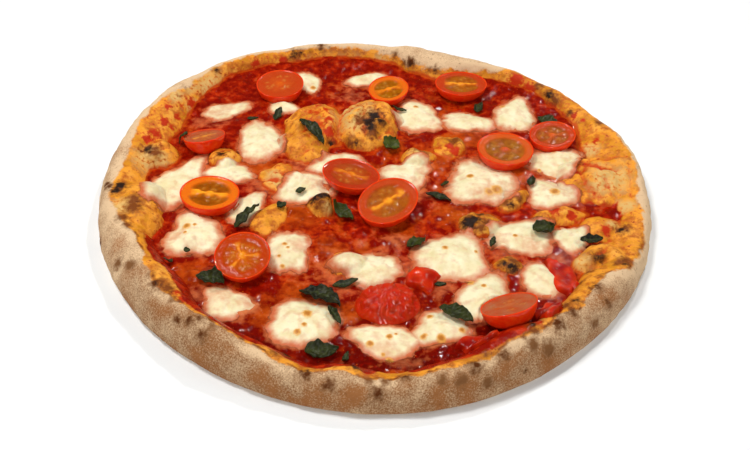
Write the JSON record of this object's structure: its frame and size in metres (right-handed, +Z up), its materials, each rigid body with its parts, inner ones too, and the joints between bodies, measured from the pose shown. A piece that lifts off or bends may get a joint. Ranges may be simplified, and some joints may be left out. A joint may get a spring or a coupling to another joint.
{
  "type": "margherita pizza",
  "caption": "Round flat pizza with a puffed floury rim, blistered base, tomato sauce, melted mozzarella patches, roasted cherry tomato halves and basil leaves.",
  "frame": {"origin": "middle of the pizza's footprint, on the surface it lies on", "axes": "+Z up, +X to the right and +Y away from someone facing the pizza's tall front rim"},
  "size_m": [0.3016, 0.298, 0.0236],
  "materials": {
    "dough": "baked wheat dough: floury grey-tan outside, oily golden lip, charred blisters",
    "sauce": "crushed tomato sauce with oil: wet, lumpy, deep red to orange",
    "tomato": "roasted cherry tomato: glossy red skin, moist orange cut face with seed gel",
    "mozzarella": "melted mozzarella: soft cream sheen with a few golden brown spots",
    "basil": "wilted baked basil: dark green to black, a little oily"
  },
  "bodies": {
    "root": {"basil_01": "basil", "basil_02": "basil", "basil_03": "basil", "basil_04": "basil", "basil_05": "basil", "basil_06": "basil", "basil_07": "basil", "basil_08": "basil", "basil_09": "basil", "basil_10": "basil", "basil_11": "basil", "basil_12": "basil", "basil_13": "basil", "crust": "dough", "mozzarella_01": "mozzarella", "mozzarella_02": "mozzarella", "mozzarella_03": "mozzarella", "mozzarella_04": "mozzarella", "mozzarella_05": "mozzarella", "mozzarella_06": "mozzarella", "mozzarella_07": "mozzarella", "mozzarella_08": "mozzarella", "mozzarella_09": "mozzarella", "mozzarella_10": "mozzarella", "mozzarella_11": "mozzarella", "mozzarella_12": "mozzarella", "mozzarella_13": "mozzarella", "mozzarella_14": "mozzarella", "mozzarella_15": "mozzarella", "mozzarella_16": "mozzarella", "mozzarella_17": "mozzarella", "mozzarella_18": "mozzarella", "mozzarella_19": "mozzarella", "mozzarella_20": "mozzarella", "mozzarella_21": "mozzarella", "mozzarella_22": "mozzarella", "mozzarella_23": "mozzarella", "mozzarella_24": "mozzarella", "mozzarella_25": "mozzarella", "mozzarella_26": "mozzarella", "mozzarella_27": "mozzarella", "mozzarella_28": "mozzarella", "mozzarella_29": "mozzarella", "sauce": "sauce", "tomato_01": "tomato", "tomato_02": "tomato", "tomato_03": "tomato", "tomato_04": "tomato", "tomato_05": "tomato", "tomato_06": "tomato", "tomato_07": "tomato", "tomato_08": "tomato", "tomato_09": "tomato", "tomato_10": "tomato", "tomato_11": "tomato", "tomato_12": "tomato", "tomato_chunk_01": "tomato", "tomato_chunk_02": "tomato", "tomato_chunk_03": "tomato", "tomato_chunk_04": "tomato"}
  },
  "joints": []
}
